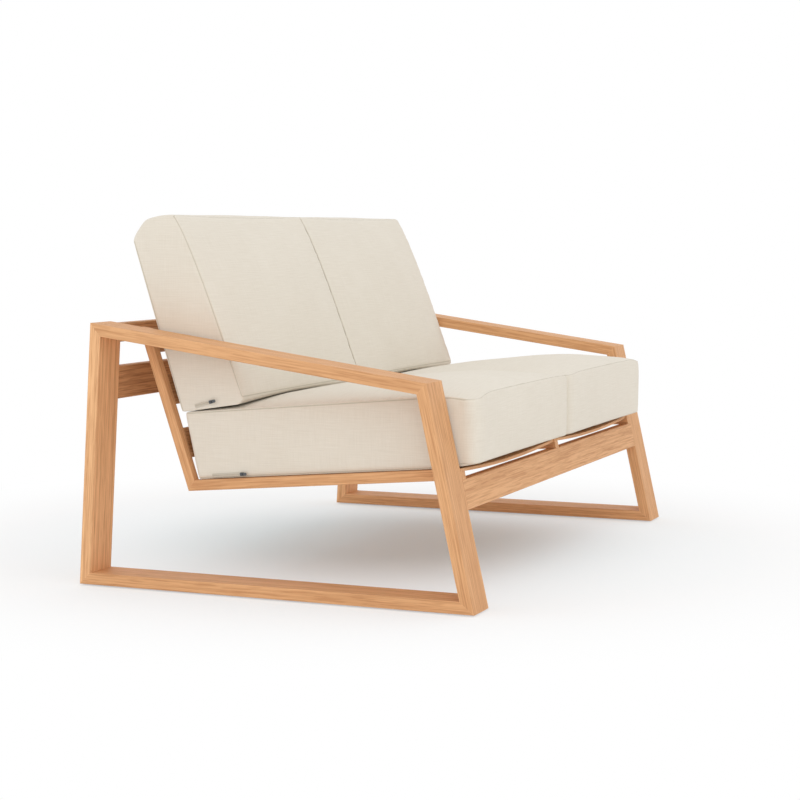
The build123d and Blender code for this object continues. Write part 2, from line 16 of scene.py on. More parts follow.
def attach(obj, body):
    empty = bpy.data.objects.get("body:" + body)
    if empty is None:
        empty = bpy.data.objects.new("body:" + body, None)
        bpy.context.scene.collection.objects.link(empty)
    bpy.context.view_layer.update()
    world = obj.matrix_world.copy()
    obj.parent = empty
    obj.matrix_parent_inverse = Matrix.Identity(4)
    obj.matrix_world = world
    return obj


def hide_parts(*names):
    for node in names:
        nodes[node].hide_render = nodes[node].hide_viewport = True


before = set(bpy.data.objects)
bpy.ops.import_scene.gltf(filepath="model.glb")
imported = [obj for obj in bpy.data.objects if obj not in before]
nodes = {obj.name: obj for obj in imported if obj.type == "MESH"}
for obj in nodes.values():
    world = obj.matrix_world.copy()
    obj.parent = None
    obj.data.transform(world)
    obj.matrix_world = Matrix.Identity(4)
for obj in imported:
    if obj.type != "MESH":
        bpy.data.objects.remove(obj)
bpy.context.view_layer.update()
scene = bpy.context.scene

# %% [markdown]
# ## Camera
# The picture was taken from the left front corner, at about table height, with a long lens, so
# the uprights stay nearly parallel. The camera is placed in metres in the model's own frame.
# It could be aimed with a constraint, but plain numbers are the easiest to check.

# %% Camera
camera_data = bpy.data.cameras.new("camera")
camera_data.lens = 85
camera_data.sensor_width = 36
camera = bpy.data.objects.new("camera", camera_data)
camera.location = (-4.088, -1.6906, 0.739)
camera.rotation_euler = (math.radians(84.99), 0, math.radians(-67.53))
scene.collection.objects.link(camera)
scene.camera = camera
print("camera at", tuple(round(x, 3) for x in camera.location))

# %% [markdown]
# ## Node helper
# Materials are built from nodes. One short helper makes a node, sets its inputs by name, and
# links any input that is given as another node's output. It keeps each recipe below readable.


# %% Node helper
def put(tree, kind, settings=None, **inputs):
    node = tree.nodes.new(kind)
    for name, value in (settings or {}).items():
        setattr(node, name, value)
    for name, value in inputs.items():
        key = int(name[1:]) if name[0] == "i" and name[1:].isdigit() else name.replace("_", " ")
        if isinstance(value, bpy.types.NodeSocket):
            tree.links.new(value, node.inputs[key])
        else:
            node.inputs[key].default_value = value
    return node


def maths(tree, operation, first, second=0.0, third=0.0):
    return put(
        tree, "ShaderNodeMath", {"operation": operation}, i0=first, i1=second, i2=third
    ).outputs[0]


def blend_colours(tree, share, first, second):
    node = put(tree, "ShaderNodeMix", {"data_type": "RGBA"}, i0=share)
    for key, value in ((6, first), (7, second)):
        if isinstance(value, bpy.types.NodeSocket):
            tree.links.new(value, node.inputs[key])
        else:
            node.inputs[key].default_value = value
    return node.outputs[2]


def stretched(tree, vector, scale):
    return put(tree, "ShaderNodeMapping", Vector=vector, Scale=scale).outputs[0]


def new_group(name, inputs, outputs):
    group = bpy.data.node_groups.new(name, "ShaderNodeTree")
    kinds = {"vector": "NodeSocketVector", "colour": "NodeSocketColor", "value": "NodeSocketFloat"}
    for label, kind in inputs:
        group.interface.new_socket(label, in_out="INPUT", socket_type=kinds[kind])
    for label, kind in outputs:
        group.interface.new_socket(label, in_out="OUTPUT", socket_type=kinds[kind])
    return group, group.nodes.new("NodeGroupInput").outputs, group.nodes.new("NodeGroupOutput")


print("node helpers ready")

# %% [markdown]
# ## Wood grain
# The boards are a pale red-brown hardwood, oiled and left matt. Sawn wood shows three things:
# slow changes of tone along a board, fine parallel lines, and short dark pores. Each could be a
# Wave texture, but stretched Noise looks less regular, so four Noise textures are stretched
# along the board and mixed. It is one group, because nine materials use it.

# %% Wood grain group
grain, given, result = new_group(
    "wood_grain",
    [("Vector", "vector"), ("Pale", "colour"), ("Deep", "colour"), ("Contrast", "value")],
    [("Color", "colour"), ("Roughness", "value"), ("Height", "value")],
)
waver = put(grain, "ShaderNodeTexNoise", Vector=given["Vector"], Scale=3.0, Detail=2.0)
bent = put(
    grain, "ShaderNodeVectorMath", {"operation": "MULTIPLY_ADD"},
    i0=waver.outputs["Color"], i1=(0.0, 0.006, 0.006), i2=given["Vector"],
).outputs[0]


def streaks_along(scale, detail, low, high):
    """Noise stretched along the board, sharpened between two levels."""
    noise_along = put(
        grain, "ShaderNodeTexNoise", Vector=stretched(grain, bent, scale), Scale=1.0,
        Detail=detail, Roughness=0.6,
    ).outputs["Fac"]
    return put(
        grain, "ShaderNodeMapRange", {"interpolation_type": "SMOOTHSTEP"}, i0=noise_along,
        i1=low, i2=high,
    ).outputs[0]


slow_share = streaks_along((1.1, 14, 14), 3.0, 0.3, 0.7)
line_share = streaks_along((3, 270, 270), 1.0, 0.43, 0.57)
dash_share = streaks_along((14, 350, 350), 1.0, 0.48, 0.6)
pores = streaks_along((40, 900, 900), 1.0, 0.6, 0.74)
depth = maths(grain, "MULTIPLY_ADD", slow_share, 0.07, maths(grain, "MULTIPLY", line_share, 0.45))
depth = maths(grain, "MULTIPLY_ADD", dash_share, 0.42, depth)
depth = maths(grain, "MULTIPLY_ADD", pores, 0.25, depth)
depth = maths(grain, "MINIMUM", maths(grain, "MULTIPLY", depth, given["Contrast"]), 1.0)
grain.links.new(
    blend_colours(grain, depth, given["Pale"], given["Deep"]), result.inputs["Color"]
)
grain.links.new(maths(grain, "MULTIPLY_ADD", depth, 0.16, 0.52), result.inputs["Roughness"])
grain.links.new(
    maths(grain, "MULTIPLY_ADD", dash_share, -0.8, maths(grain, "MULTIPLY", line_share, -0.35)),
    result.inputs["Height"],
)
print("wood grain group:", len(grain.nodes), "nodes")

# %% [markdown]
# ## Edge wear
# A handled edge is rubbed a little paler than the face beside it. A Bevel node looks at the
# surface round each point and bends the normal near an edge, so where its normal differs from
# the real one there is an edge. That works on any mesh, also on CAD triangles.

# %% Edge wear group
wear, given, result = new_group("edge_wear", [("Radius", "value")], [("Mask", "value")])
rounded = put(wear, "ShaderNodeBevel", {"samples": 4}, Radius=given["Radius"]).outputs[0]
true_normal = put(wear, "ShaderNodeNewGeometry").outputs["Normal"]
alike = put(wear, "ShaderNodeVectorMath", {"operation": "DOT_PRODUCT"}, i0=rounded, i1=true_normal)
mask = put(wear, "ShaderNodeMapRange", i0=alike.outputs["Value"], i1=0.995, i2=0.86).outputs[0]
wear.links.new(mask, result.inputs["Mask"])
print("edge wear group:", len(wear.nodes), "nodes")


# %% [markdown]
# ## Woods for the boards
# Grain follows the length of a board, and on a mitred frame that is what shows the joint: the
# lines of the leg meet the lines of the arm at an angle. So there is one wood for each direction
# that boards run in, and its Mapping node turns the pattern to that direction. The rear legs get
# a paler copy, painted light, and the boards behind the seat a darker one, painted shade.


# %% Wood materials
OILED_PALE, OILED_DEEP = (0.775, 0.43, 0.21, 1), (0.42, 0.175, 0.068, 1)
# The boards behind the seat get a darker copy of the oiled wood: painted shade for the shadow
# under the cushions, not a different timber.
SHADED_PALE, SHADED_DEEP = (0.66, 0.35, 0.165, 1), (0.3, 0.12, 0.045, 1)
RAW_PALE, RAW_DEEP = (0.66, 0.42, 0.24, 1), (0.4, 0.2, 0.1, 1)
# The rear legs' pale is lighter than the other boards': painted light on their sides, not a paler
# timber.
REAR_LEG_PAINTED_LIGHT_PALE = (0.91, 0.53, 0.27, 1)
RUBBED_EDGE = (0.82, 0.54, 0.33, 1)


def wood(name, lean=None, pale=OILED_PALE, deep=OILED_DEEP, contrast=0.59, shift=0.0):
    """Wood with its grain along one kind of board, on a place of its own in the pattern.

    lean is the board's angle above the seat's depth in degrees, or None where it runs across.
    """
    material = bpy.data.materials.new(name)
    material.use_nodes = True
    tree = material.node_tree
    tree.nodes.clear()
    place = put(tree, "ShaderNodeTexCoord").outputs["Object"]
    turn = (0, 0, 0) if lean is None else (-math.radians(lean), 0, -math.pi / 2)
    turned = put(
        tree, "ShaderNodeMapping", Vector=place, Rotation=turn, Location=(shift, shift, shift)
    ).outputs[0]
    figure = put(
        tree, "ShaderNodeGroup", {"node_tree": grain}, Vector=turned, Pale=pale, Deep=deep,
        Contrast=contrast,
    )
    edges = put(tree, "ShaderNodeGroup", {"node_tree": wear}, Radius=0.0022)
    colour = blend_colours(
        tree, maths(tree, "MULTIPLY", edges.outputs["Mask"], 0.22), figure.outputs["Color"],
        RUBBED_EDGE,
    )
    bump = put(
        tree, "ShaderNodeBump", Strength=0.35, Distance=0.0005, Height=figure.outputs["Height"]
    ).outputs[0]
    shader = put(
        tree, "ShaderNodeBsdfPrincipled", Base_Color=colour, Roughness=figure.outputs["Roughness"],
        Normal=bump, Specular_IOR_Level=0.2,
    )
    tree.links.new(
        shader.outputs[0], put(tree, "ShaderNodeOutputMaterial").inputs["Surface"]
    )
    return material


def dress(material, names):
    for name in names:
        target = nodes[name].data
        target.materials.clear()
        target.materials.append(material)


def pair(name):
    return [f"{side}_{name}" for side in ("left", "right")]


across = [n for n in nodes if "seat_slat" in n] + ["front_stretcher"]
behind = [n for n in nodes if "back_slat" in n] + [
    "lower_crossbar", "upper_crossbar", "back_top_rail"
]
dress(wood("wood_arms", 7.85), pair("arm"))
dress(wood("wood_front_legs", -102.65, shift=0.3), pair("front_leg"))
# Rear legs: the same wood with a lighter pale, painted light.
dress(wood("wood_rear_legs_painted_light", 93.6, REAR_LEG_PAINTED_LIGHT_PALE, shift=0.7), pair("rear_leg"))
dress(wood("wood_runners", 0.0, shift=1.1), pair("runner"))
dress(wood("wood_across", None, shift=1.7), across)
# Crossbars, top rail and back slats: the same wood, darkened with painted shade.
dress(wood("wood_behind_painted_shade", None, SHADED_PALE, SHADED_DEEP, 0.75, 3.4), behind)
dress(wood("wood_seat_rails", -5.0, shift=2.3), [n for n in nodes if "seat_rail" in n])
dress(wood("wood_back_stiles", 71.5, shift=2.9), [n for n in nodes if "back_stile" in n])
joinery = ["mitre_tenons", "crossbar_dowels", "heel_tenons", "back_dowels"]
dress(wood("wood_joinery", None, RAW_PALE, RAW_DEEP, 0.8), joinery)
print("woods on", len([m for m in bpy.data.materials if m.name.startswith("wood_")]), "materials")

# %% [markdown]
# ## Woven cloth
# The covers are a thick outdoor weave in a warm off-white. From a few metres the single threads
# melt together, and what is left is faint streaks both ways, where a thread is thicker or a
# shade darker. The pattern needs two directions on each panel, so the group picks the plane
# that the panel faces most, from the surface normal, and runs warp and weft in it.

# %% Woven cloth group
THREAD_PITCH = 0.0016
STITCH_SHADOW = (0.47, 0.43, 0.33, 1)
weave, given, result = new_group(
    "woven_cloth",
    [("Vector", "vector"), ("Colour", "colour"), ("Shade", "colour"), ("Seam", "value")],
    [("Color", "colour"), ("Roughness", "value"), ("Height", "value")],
)
facing = put(weave, "ShaderNodeVectorMath", {"operation": "ABSOLUTE"},
             i0=put(weave, "ShaderNodeNewGeometry").outputs["Normal"])
towards = put(weave, "ShaderNodeSeparateXYZ", Vector=facing.outputs[0]).outputs
spot = put(weave, "ShaderNodeSeparateXYZ", Vector=given["Vector"]).outputs
others = maths(weave, "MAXIMUM", towards[1], towards[2])
sideways = maths(weave, "GREATER_THAN", towards[0], others)
upwards = maths(weave, "GREATER_THAN", towards[2], towards[1])


def either(choice, first, second):
    """The first value where the choice is 0, the second where it is 1."""
    mix = put(weave, "ShaderNodeMix", {"data_type": "FLOAT"}, i0=choice, i2=first, i3=second)
    return mix.outputs[0]


warp = either(sideways, spot[0], spot[1])
weft = either(sideways, either(upwards, spot[2], spot[1]), spot[2])
plane = put(weave, "ShaderNodeCombineXYZ", X=warp, Y=weft, Z=sideways).outputs[0]
streaks = []
for scale in ((16, 520, 1), (480, 20, 1)):
    streaks.append(
        put(weave, "ShaderNodeTexNoise", Vector=stretched(weave, plane, scale), Scale=1.0,
            Detail=3.0, Roughness=0.6).outputs["Fac"]
    )
turns = 2 * math.pi / THREAD_PITCH
threads = [maths(weave, "SINE", maths(weave, "MULTIPLY", along, turns)) for along in (warp, weft)]
crossing = maths(weave, "MULTIPLY", threads[0], threads[1])
cloud = put(
    weave, "ShaderNodeTexNoise", Vector=given["Vector"], Scale=7.0, Detail=2.0
).outputs["Fac"]
tone = maths(weave, "MULTIPLY_ADD", streaks[0], 0.9, maths(weave, "MULTIPLY", streaks[1], 0.6))
tone = maths(weave, "MULTIPLY_ADD", cloud, 0.25, tone)
tone = maths(weave, "MULTIPLY_ADD", crossing, 0.06, tone)
share = put(weave, "ShaderNodeMapRange", i0=tone, i1=0.62, i2=1.12).outputs[0]
cloth_colour = blend_colours(weave, share, given["Shade"], given["Colour"])
# Near a seam the cloth colour is darkened towards STITCH_SHADOW: painted shade in the seam's
# groove.
painted_seam_shade = put(
    weave, "ShaderNodeMapRange", {"interpolation_type": "SMOOTHSTEP"},
    i0=given["Seam"], i1=0.0005, i2=0.0026, i3=1.0, i4=0.0,
).outputs[0]
cloth_colour = blend_colours(
    weave, maths(weave, "MULTIPLY", painted_seam_shade, 0.6), cloth_colour, STITCH_SHADOW
)
weave.links.new(cloth_colour, result.inputs["Color"])
weave.links.new(maths(weave, "MULTIPLY_ADD", share, -0.06, 0.95), result.inputs["Roughness"])
height = maths(weave, "MULTIPLY_ADD", crossing, 0.35, maths(weave, "MULTIPLY", tone, 0.5))
weave.links.new(height, result.inputs["Height"])
print("woven cloth group:", len(weave.nodes), "nodes")

# %% Cloth material
cloth = bpy.data.materials.new("cream_cloth")
cloth.use_nodes = True
tree = cloth.node_tree
tree.nodes.clear()
woven = put(
    tree, "ShaderNodeGroup", {"node_tree": weave},
    Vector=put(tree, "ShaderNodeTexCoord").outputs["Object"],
    Colour=(0.805, 0.75, 0.655, 1), Shade=(0.735, 0.675, 0.575, 1),
    Seam=put(tree, "ShaderNodeAttribute", {"attribute_name": "seam"}).outputs["Fac"],
)
bump = put(
    tree, "ShaderNodeBump", Strength=0.3, Distance=0.0006, Height=woven.outputs["Height"]
).outputs[0]
shader = put(
    tree, "ShaderNodeBsdfPrincipled", Base_Color=woven.outputs["Color"],
    Roughness=woven.outputs["Roughness"], Normal=bump, Specular_IOR_Level=0.2, Sheen_Weight=0.15,
    Sheen_Roughness=0.6,
)
tree.links.new(shader.outputs[0], put(tree, "ShaderNodeOutputMaterial").inputs["Surface"])
print("cloth material:", len(tree.nodes), "nodes")

# %% [markdown]
# ## Shape of a cushion
# A box cushion has two large panels and a band round it. Filled, the panels rise to a crown, the
# band swells a little, and the seams pull in between the corners. A cushion could be inflated
# from a box by simulation alone, but then its crest goes where it likes. Here the block has its
# crowns drawn first, from the side profile that the foam is cut to, and cloth simulation only
# fills it out afterwards. Each profile is its corners, from the bottom of the rear panel round
# the top to the front, in metres as (depth, height), and a lift for the edge after each corner.
# The rounds are the radii at the cushion's sides and the draws how far an edge is pulled in at
# mid-width. The cuts are those of the grid that the block starts from.

# %% Cushion profiles
HALF_WIDTH = 0.303
MIDDLE = 0.3035
CREST_SHARE, CREST_HEIGHT = 0.81, 0.030
SEAT_CORNERS = [(0.2091, 0.2251), (0.2411, 0.3668), (-0.4172, 0.4269), (-0.4176, 0.2865)]
SEAT_TOE = (-0.3583, 0.2747)
REST_DEPTH, TOE_SLOPE = 0.0066, 0.0627
BACK_CORNERS = [
    (0.2467, 0.3655), (0.3622, 0.7305), (0.3334, 0.7703), (0.261, 0.781), (0.1016, 0.404)
]


def rise(offset):
    """How far a crown has grown at an offset in from the cushion's side, from 0 to 1."""
    return 1 - (1 - min(offset / HALF_WIDTH, 1)) ** 2.2


def bowed(height):
    return lambda share, grown: height * grown * 4 * share * (1 - share)


def seat_crest(share, grown):
    """The seat's top climbs to a crest near the front edge, then falls to the front seam."""
    if share < CREST_SHARE:
        part, bow = share / CREST_SHARE, 0.011
    else:
        part, bow = (1 - share) / (1 - CREST_SHARE), 0.005
    return (CREST_HEIGHT * part + bow * 4 * part * (1 - part)) * grown


def seat_toe(share, grown):
    """The bottom lies flat on the slats, and its last stretch lifts off them towards the front."""
    return min(REST_DEPTH * (1 - share), TOE_SLOPE * share)


def shoulder(share, grown):
    """The rear top corner of the back is a round shoulder, at its sides as well."""
    return (0.001 + 0.011 * grown) * 4 * share * (1 - share)


def back_top(share, grown):
    """The narrow top of the back bows across its whole width, a little less at the sides."""
    return 0.009 * (0.2 + 0.8 * grown) * 4 * share * (1 - share)


def back_front(share, grown):
    """The back's front panel bows at its sides too, most in its upper part."""
    return 0.0095 * math.sin(math.pi * share**0.6) + 0.020 * grown * 4 * share * (1 - share)


def between(first, second, share):
    return [a + (b - a) * share for a, b in zip(first, second)]


def back_bottom(share, grown):
    """The back's bottom sags into most of the room that it has over the seat's crown."""
    depth, height = between(BACK_CORNERS[4], BACK_CORNERS[0], share)
    rear, front = SEAT_CORNERS[1], SEAT_CORNERS[2]
    seat_share = max((rear[0] - depth) / (rear[0] - front[0]), 0)
    seat_top = between(rear, front, seat_share)[1] + seat_crest(seat_share, grown)
    filled_share = 0.62 + 0.3 * grown
    return max(height - seat_top, 0) * filled_share * min(share / 0.12, 1) ** 0.5


profiles = {
    "seat": {
        "corners": SEAT_CORNERS,
        "rounds": [0.008, 0.003, 0.030, 0.003],
        "draws": [0.004, 0.0, 0.004, 0.0],
        "lifts": [bowed(0.005), seat_crest, bowed(0.005), seat_toe],
        "rest": (SEAT_TOE, SEAT_CORNERS[0]),
        "cuts": (119, 127, 35),
        "soft_corners": [(1, 0.009, 5)],
    },
    "back": {
        "corners": BACK_CORNERS,
        "rounds": [0.003, 0.009, 0.005, 0.003, 0.003],
        "draws": [0.0, 0.004, 0.004, 0.0, 0.0008],
        "lifts": [bowed(0.0165), shoulder, back_top, back_front, back_bottom],
        "rest": (BACK_CORNERS[4], BACK_CORNERS[0]),
        "cuts": (119, 35, 99),
        "soft_corners": [(0, 0.008, 4), (1, 0.02, 2), (2, 0.03, 10)],
    },
}
sections = {}


def corners_at(kind, offset):
    """The profile's corners at an offset in from the cushion's side, with each edge moved in."""
    if (kind, offset) in sections:
        return sections[kind, offset]
    form = profiles[kind]
    points = [Vector(c) for c in form["corners"]]
    edges = []
    for index, start in enumerate(points):
        along = (points[(index + 1) % len(points)] - start).normalized()
        inward = Vector((-along.y, along.x))
        radius = form["rounds"][index]
        left = max(radius - offset, 0)
        inset = radius - math.sqrt(radius**2 - left**2) + form["draws"][index] * rise(offset)
        edges.append((start + inward * inset, along))
    moved = []
    for index in range(len(points)):
        (p, u), (q, v) = edges[index - 1], edges[index]
        moved.append(p + u * ((q - p).cross(v) / u.cross(v)))
    sections[kind, offset] = moved
    return moved


def edge_point(kind, corners, index, share, grown):
    start, end = corners[index], corners[(index + 1) % len(corners)]
    along = (end - start).normalized()
    outward = Vector((along.y, -along.x))
    return start + (end - start) * share + outward * profiles[kind]["lifts"][index](share, grown)


mid_width = corners_at("seat", 0.3)
print("seat profile at mid-width:", [tuple(round(x, 4) for x in p) for p in mid_width])

# %% [markdown]
# The block starts as a cube with even cuts, and each of its points is moved to its place. The
# cuts crowd towards the edges, where the surface turns. Between the four edges of the profile the
# points are spread with a Coons patch: the mean of the two ways of joining opposite edges, less
# the flat patch between the corners. Some corners are soft, where no seam holds the cloth to a
# crease, and rounds of smooth_vert take their edge off.


# %% Cushion block
OUTER_DROOP, INNER_DROOP, DROOP_REACH = 0.0105, 0.004, 0.05
DRAW_IN, DRAW_REACH = 0.0022, 0.02
CROWDING = 0.6


def profile_point(kind, corners, grown, s, t):
    """A point of the section: s runs from the rear to the front, t from low to high."""
    last = len(corners) - 1
    low = edge_point(kind, corners, last, 1 - s, grown)
    rear = edge_point(kind, corners, 0, t, grown)
    front = edge_point(kind, corners, last - 1, 1 - t, grown)
    lengths = [(corners[i + 1] - corners[i]).length for i in range(1, last - 1)]
    walk, index = s * sum(lengths), 0
    while index < len(lengths) - 1 and walk > lengths[index]:
        walk -= lengths[index]
        index += 1
    high = edge_point(kind, corners, 1 + index, min(walk / lengths[index], 1), grown)
    a, b, c, d = corners[0], corners[1], corners[last - 1], corners[last]
    flat = (a * (1 - s) + d * s) * (1 - t) + (b * (1 - s) + c * s) * t
    return low * (1 - t) + high * t + rear * (1 - s) + front * s - flat


def droop(kind, u, offset, depth):
    """How far the top of a seat cushion sinks at its two front corners, most at the outer one."""
    if kind == "back":
        return 0
    away = math.hypot(offset, depth - profiles[kind]["corners"][2][0])
    return (OUTER_DROOP if u < 0 else INNER_DROOP) * math.exp(-((away / DROOP_REACH) ** 2))


def cushion_place(kind, u, s, t):
    """Where a point of the cube goes: u is across from -1 to 1, s rear to front, t low to high."""
    offset = HALF_WIDTH * (1 - abs(u)) ** 1.5
    spot = profile_point(kind, corners_at(kind, offset), rise(offset), s, t)
    middle = (4 * s * (1 - s)) ** 0.5
    pulled = DRAW_IN * middle * (1 - 4 * t * (1 - t)) * math.exp(-offset / DRAW_REACH)
    sunk = droop(kind, u, offset, spot.x) * t**1.5
    crosswise = math.copysign(HALF_WIDTH - offset - pulled, u)
    return Vector((crosswise - MIDDLE, spot.x, spot.y - sunk))


def crowded(share):
    """An even share moved towards the nearer end, where the points have to stand closer."""
    return share + CROWDING * (0.5 - 0.5 * math.cos(math.pi * share) - share)


def gridded_cube(cuts):
    block = bmesh.new()
    bmesh.ops.create_cube(block, size=2)
    for axis, count in enumerate(cuts):
        along = [e for e in block.edges if abs((e.verts[1].co - e.verts[0].co)[axis]) > 1]
        bmesh.ops.subdivide_edges(block, edges=along, cuts=count, use_grid_fill=True)
    return block


def on_seam(kind, co):
    """The seat's seams edge its top and bottom panels, the back's its front and rear panels."""
    at_end = [abs(value) > 0.999 for value in co]
    panel, first, second = (2, 0, 1) if kind == "seat" else (1, 0, 2)
    return at_end[panel] and (at_end[first] or at_end[second])


def cushion_block(kind):
    form = profiles[kind]
    block = gridded_cube(form["cuts"])
    seam = [v for v in block.verts if on_seam(kind, v.co)]
    marked = set(seam)
    edges = [tuple(v.index for v in e.verts) for e in block.edges if marked.issuperset(e.verts)]
    for vert in block.verts:
        s, t = crowded((1 - vert.co.y) / 2), crowded((vert.co.z + 1) / 2)
        vert.co = cushion_place(kind, vert.co.x, s, t)
    for corner, reach, rounds in form["soft_corners"]:
        spot = Vector(form["corners"][corner])
        soft = [v for v in block.verts if (Vector((v.co.y, v.co.z)) - spot).length < reach]
        for _ in range(rounds):
            bmesh.ops.smooth_vert(
                block, verts=soft, factor=0.5, use_axis_x=False, use_axis_y=True, use_axis_z=True
            )
    bmesh.ops.recalc_face_normals(block, faces=block.faces)
    mesh = bpy.data.meshes.new(f"{kind}_block")
    block.to_mesh(mesh)
    block.free()
    return mesh, edges


blocks = {kind: cushion_block(kind) for kind in profiles}
print("blocks:", {kind: len(mesh.polygons) for kind, (mesh, edges) in blocks.items()}, "faces")

# %% [markdown]
# ## Seams
# The seams run where the two large panels meet the band, along edges of the block that were
# marked while it was still a cube. Each such edge is sampled at a few points, and a KD-tree then
# gives any place its distance to the nearest seam. Simulation holds the cloth near a seam, the
# groove is pressed in along it, and the material paints shade along it.


# %% Seam distance
def coordinates(mesh):
    flat = np.empty(len(mesh.vertices) * 3)
    mesh.vertices.foreach_get("co", flat)
    return flat.reshape(-1, 3)


def put_coordinates(mesh, places):
    mesh.vertices.foreach_set("co", np.asarray(places, np.float32).ravel())
    mesh.update()


def tree_of(places):
    tree = KDTree(len(places))
    for index, place in enumerate(places):
        tree.insert(place, index)
    tree.balance()
    return tree


def seam_tree(mesh, edges):
    places = coordinates(mesh)
    ends = np.array(edges)
    shares = np.linspace(0, 1, 7)[:-1]
    samples = [places[ends[:, 0]] * (1 - k) + places[ends[:, 1]] * k for k in shares]
    return tree_of(np.concatenate(samples))


print("seam edges:", {kind: len(edges) for kind, (mesh, edges) in blocks.items()})

# %% [markdown]
# ## Filling the cushions
# The block is remeshed to even squares, because cloth simulation wants threads of one length.
# Then pressure from inside pushes the panels out for twenty frames while the seams hold, and no
# point may move further than a cap. Where a cushion lies on the frame or on its neighbour it has
# no room, so there the cloth is held. The swelling is then carried over to the block's own fine
# grid, point by point, which keeps the seams as crisp as they were drawn.


# %% Remesh and fill
THREAD_LENGTH = 0.006
SWELL_FRAMES = 20
SWELL_CAP = 0.007
BACK_LIES_FROM, BACK_CLEARS_AT = 0.14, 0.04


def settled(thing):
    graph = bpy.context.evaluated_depsgraph_get()
    return bpy.data.meshes.new_from_object(thing.evaluated_get(graph), depsgraph=graph)


def evened(kind):
    thing = bpy.data.objects.new(f"{kind}_even", blocks[kind][0])
    scene.collection.objects.link(thing)
    remesh = thing.modifiers.new("even", "REMESH")
    remesh.mode = "VOXEL"
    remesh.voxel_size = THREAD_LENGTH
    mesh = settled(thing)
    bpy.data.objects.remove(thing)
    return mesh


def beyond_line(line, place):
    """How far a point lies inside a line of the profile, on the side where the cushion is."""
    start, end = (Vector(c) for c in line)
    along = (end - start).normalized()
    return (Vector((place[1], place[2])) - start).dot(Vector((-along.y, along.x)))


def faded(value, low, high):
    share = min(max((value - low) / (high - low), 0), 1)
    return share * share * (3 - 2 * share)


def freedom(kind, place):
    """How freely the cloth may swell at a place, from 0 where it rests on something to 1."""
    free = faded(beyond_line(profiles[kind]["rest"], place), 0.002, 0.02)
    if kind == "seat":
        return free * faded(place[1], BACK_LIES_FROM, BACK_CLEARS_AT)
    corners = profiles[kind]["corners"]
    return free * faded(beyond_line((corners[0], corners[1]), place), 0.0, 0.05)


def filled(kind):
    """The places of the evened block's points, and how far pressure moves each of them."""
    mesh = evened(kind)
    places = coordinates(mesh)
    thing = bpy.data.objects.new(f"{kind}_fill", mesh)
    scene.collection.objects.link(thing)
    held = thing.vertex_groups.new(name="held")
    seams = seam_tree(*blocks[kind])
    free = np.array([freedom(kind, place) for place in places])
    for index, place in enumerate(places):
        near = seams.find(place)[2]
        held.add([index], 1 - faded(near, 0.004, 0.03) * min(free[index] * 2, 1), "REPLACE")
    swell = thing.modifiers.new("swell", "CLOTH")
    swell.settings.vertex_group_mass = "held"
    swell.settings.use_pressure = True
    swell.settings.uniform_pressure_force = 4
    swell.settings.effector_weights.gravity = 0
    swell.settings.quality = 4
    swell.point_cache.frame_start = 1
    swell.point_cache.frame_end = SWELL_FRAMES
    for number in range(1, SWELL_FRAMES + 1):
        scene.frame_set(number)
    after = settled(thing)
    moves = coordinates(after) - places
    scene.frame_set(1)
    bpy.data.objects.remove(thing)
    lengths = np.linalg.norm(moves, axis=1, keepdims=True)
    moves *= SWELL_CAP / (SWELL_CAP + lengths) * free[:, None]
    furthest = float(np.linalg.norm(moves, axis=1).max())
    print(kind, "filled: furthest move", round(furthest * 1000, 1), "mm")
    return places, moves


def carried(kind, places, moves):
    """Moves each point of the fine block as the evened points round it moved."""
    tree = tree_of(places)
    fine = coordinates(blocks[kind][0])
    for index, spot in enumerate(fine):
        near = tree.find_n(spot, 6)
        weights = np.array([1 / (found[2] + 0.001) ** 2 for found in near])
        fine[index] += weights @ moves[[found[1] for found in near]] / weights.sum()
    put_coordinates(blocks[kind][0], fine)


# %% [markdown]
# ## Seams and puckers
# A sewn seam sits a little below the cloth on both sides, and the cloth next to it gathers in
# small waves where the thread pulls. The points near a seam are moved along their normals: in at
# the seam, and in and out beside it with noise. The two cushions of a pair touch at the middle of
# the seat, so there the cloth is flat.

# %% Seam finish
INNER_LIMIT, OUTER_LIMIT = -0.0008, -0.6095
GROOVE_DEPTH, GROOVE_REACH = 0.0014, 0.003
HOLLOW_DEPTH, HOLLOW_REACH = 0.0006, 0.011
PUCKER_HEIGHT, PUCKER_REACH, PUCKER_END = 0.0009, 0.018, 0.05
BILLOW_HEIGHT, BILLOW_START = 0.0011, 0.03


def finished(kind):
    mesh, edges = blocks[kind]
    seams = seam_tree(mesh, edges)
    places = coordinates(mesh)
    normals = np.array([v.normal for v in mesh.vertices])
    near = np.array([seams.find(p)[2] for p in places])
    seam_distance = mesh.attributes.new("seam", "FLOAT", "POINT")
    seam_distance.data.foreach_set("value", near.astype(np.float32))
    groove = GROOVE_DEPTH * np.exp(-((near / GROOVE_REACH) ** 2))
    groove += HOLLOW_DEPTH * np.exp(-((near / HOLLOW_REACH) ** 2))
    ripple = np.zeros(len(places))
    for index, away in enumerate(near):
        place = Vector(places[index])
        if away < PUCKER_END:
            wave = noise.noise(place * 48) + 0.6 * noise.noise(place * 110)
            ripple[index] = PUCKER_HEIGHT * wave * math.exp(-((away / PUCKER_REACH) ** 2))
        ripple[index] += BILLOW_HEIGHT * noise.noise(place * 9) * min(away / BILLOW_START, 1)
    free = np.array([faded(freedom(kind, place), 0, 0.3) for place in places])
    places += normals * (ripple * free - groove)[:, None]
    places[:, 0] = np.clip(places[:, 0], OUTER_LIMIT, INNER_LIMIT)
    put_coordinates(mesh, places)
    return mesh


cushions = {}
for kind in profiles:
    carried(kind, *filled(kind))
    cushions[kind] = finished(kind)
print("cushions:", {kind: len(mesh.polygons) for kind, mesh in cushions.items()}, "faces")

